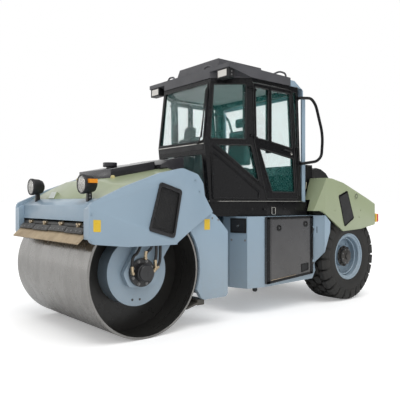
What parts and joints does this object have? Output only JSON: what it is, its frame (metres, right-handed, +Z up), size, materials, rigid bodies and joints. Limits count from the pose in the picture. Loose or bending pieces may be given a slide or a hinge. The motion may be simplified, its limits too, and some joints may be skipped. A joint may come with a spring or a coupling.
{
  "type": "single drum road roller",
  "caption": "Ride-on road roller with a smooth steel drum in an articulated front frame, a hexagonal glazed cab, and a hooded rear half on lugged tyres.",
  "frame": {"origin": "on the ground under the middle of the machine's length, on its centre plane", "axes": "+X forward, +Y to the machine's left, +Z up"},
  "size_m": [4.99, 2.096, 3.274],
  "materials": {
    "frame_blue": "semi-gloss light steel blue paint",
    "hood_green": "semi-gloss pale grey-green paint",
    "black_paint": "satin black paint",
    "black_plastic": "moulded black plastic",
    "cab_charcoal": "satin charcoal paint",
    "drum_steel": "rolled steel, worn bright",
    "motor_iron": "painted casting",
    "rod_chrome": "hard chrome",
    "hose_rubber": "matt black hose rubber",
    "scraper_rubber": "tan rubber sheet",
    "tyre_rubber": "black tyre rubber",
    "cab_glass": "green-tinted safety glass",
    "lamp_glass": "clear lamp lens",
    "amber_plastic": "amber lens",
    "red_plastic": "red lens",
    "seat_fabric": "black woven cloth"
  },
  "bodies": {
    "rear_frame": {"rear_frame_box": "frame_blue", "rear_chassis": "frame_blue", "rear_axle": "frame_blue", "engine": "black_paint", "platform": "black_paint", "radiator_housing": "black_paint", "cab_shell": "cab_charcoal", "windscreen": "cab_glass", "lower_windscreen": "cab_glass", "rear_glass": "cab_glass", "corner_glass": "cab_glass", "quarter_glass": "cab_glass", "cab_roof": "black_plastic", "work_lamps": "black_plastic", "roll_bar": "frame_blue", "roll_bar_posts": "black_paint", "grab_rails": "black_paint", "seat": "seat_fabric", "steering_console": "black_plastic"},
    "pivot_yoke": {"pivot_yoke": "frame_blue"},
    "front_frame": {"side_plate_left": "frame_blue", "side_plate_right": "frame_blue", "side_vents": "black_plastic", "lower_plate_left": "frame_blue", "lower_plate_right": "frame_blue", "nose_beam": "frame_blue", "rear_crosshead": "frame_blue", "front_hood": "hood_green", "hood_lid": "black_plastic", "hood_fairing": "black_paint", "headlamps": "black_plastic", "headlamp_lenses": "lamp_glass", "turn_lamps": "amber_plastic", "drum_arms": "frame_blue", "drum_motors": "motor_iron", "drum_hoses": "hose_rubber", "front_scraper": "black_paint", "scraper_blade": "scraper_rubber", "rear_scraper": "black_paint"},
    "drum": {"drum_shell": "drum_steel", "drum_webs": "black_paint", "drum_discs": "frame_blue"},
    "steer_barrel_left": {"steer_barrel_left": "black_paint"},
    "steer_barrel_right": {"steer_barrel_right": "black_paint"},
    "steer_rod_left": {"steer_rod_left": "rod_chrome"},
    "steer_rod_right": {"steer_rod_right": "rod_chrome"},
    "cab_door_left": {"door_left": "cab_charcoal", "door_glass_left": "cab_glass"},
    "cab_door_right": {"door_right": "cab_charcoal", "door_glass_right": "cab_glass"},
    "service_door_left": {"service_door_left": "black_paint"},
    "service_door_right": {"service_door_right": "black_paint"},
    "rear_hood": {"rear_hood": "hood_green", "intake_cover": "black_plastic", "hood_vents": "black_plastic", "tail_lamps": "red_plastic"},
    "wheel_left": {"tyre_left": "tyre_rubber", "rim_left": "frame_blue"},
    "wheel_right": {"tyre_right": "tyre_rubber", "rim_right": "frame_blue"}
  },
  "joints": [
    {"name": "steering", "type": "hinge", "parent": "rear_frame", "child": "pivot_yoke", "pos_m": [0.285, 0, 0.71], "axis": [0, 0, 1], "range_deg": [-35, 35]},
    {"name": "oscillation", "type": "hinge", "parent": "pivot_yoke", "child": "front_frame", "pos_m": [0.535, 0, 0.71], "axis": [1, 0, 0], "range_deg": [-10, 10]},
    {"name": "drum_roll", "type": "hinge", "parent": "front_frame", "child": "drum", "pos_m": [1.735, 0, 0.68], "axis": [0, 1, 0], "continuous": true},
    {"name": "wheel_roll_left", "type": "hinge", "parent": "rear_frame", "child": "wheel_left", "pos_m": [-1.735, 0.77, 0.63], "axis": [0, 1, 0], "continuous": true},
    {"name": "wheel_roll_right", "type": "hinge", "parent": "rear_frame", "child": "wheel_right", "pos_m": [-1.735, -0.77, 0.63], "axis": [0, 1, 0], "continuous": true},
    {"name": "barrel_swing_left", "type": "hinge", "parent": "rear_frame", "child": "steer_barrel_left", "pos_m": [-0.345, 0.3, 0.71], "axis": [0, 0, 1], "range_deg": [-6, 6]},
    {"name": "rod_slide_left", "type": "slide", "parent": "steer_barrel_left", "child": "steer_rod_left", "axis": [0.9986, -0.053, 0], "range_m": [-0.16, 0.16]},
    {"name": "barrel_swing_right", "type": "hinge", "parent": "rear_frame", "child": "steer_barrel_right", "pos_m": [-0.345, -0.3, 0.71], "axis": [0, 0, 1], "range_deg": [-6, 6]},
    {"name": "rod_slide_right", "type": "slide", "parent": "steer_barrel_right", "child": "steer_rod_right", "axis": [0.9986, 0.053, 0], "range_m": [-0.16, 0.16]},
    {"name": "cab_door_hinge_left", "type": "hinge", "parent": "rear_frame", "child": "cab_door_left", "pos_m": [0.08, 0.85, 2.15], "axis": [-0.0426, 0, -0.9991], "range_deg": [0, 85]},
    {"name": "cab_door_hinge_right", "type": "hinge", "parent": "rear_frame", "child": "cab_door_right", "pos_m": [0.08, -0.85, 2.15], "axis": [0.0426, 0, 0.9991], "range_deg": [0, 85]},
    {"name": "service_door_hinge_left", "type": "hinge", "parent": "rear_frame", "child": "service_door_left", "pos_m": [-0.995, 0.9053, 0.8], "axis": [0, 0, 1], "range_deg": [0, 90]},
    {"name": "service_door_hinge_right", "type": "hinge", "parent": "rear_frame", "child": "service_door_right", "pos_m": [-0.995, -0.9053, 0.8], "axis": [0, 0, -1], "range_deg": [0, 90]},
    {"name": "rear_hood_hinge", "type": "hinge", "parent": "rear_frame", "child": "rear_hood", "pos_m": [-2.445, 0, 1.09], "axis": [0, -1, 0], "range_deg": [0, 55]}
  ],
  "couplings": [
    {"joint": "barrel_swing_left", "follows": "steering", "ratio": -0.0053},
    {"joint": "rod_slide_left", "follows": "steering", "m_per_rad": -0.2504},
    {"joint": "barrel_swing_right", "follows": "steering", "ratio": -0.0053},
    {"joint": "rod_slide_right", "follows": "steering", "m_per_rad": 0.2504}
  ]
}
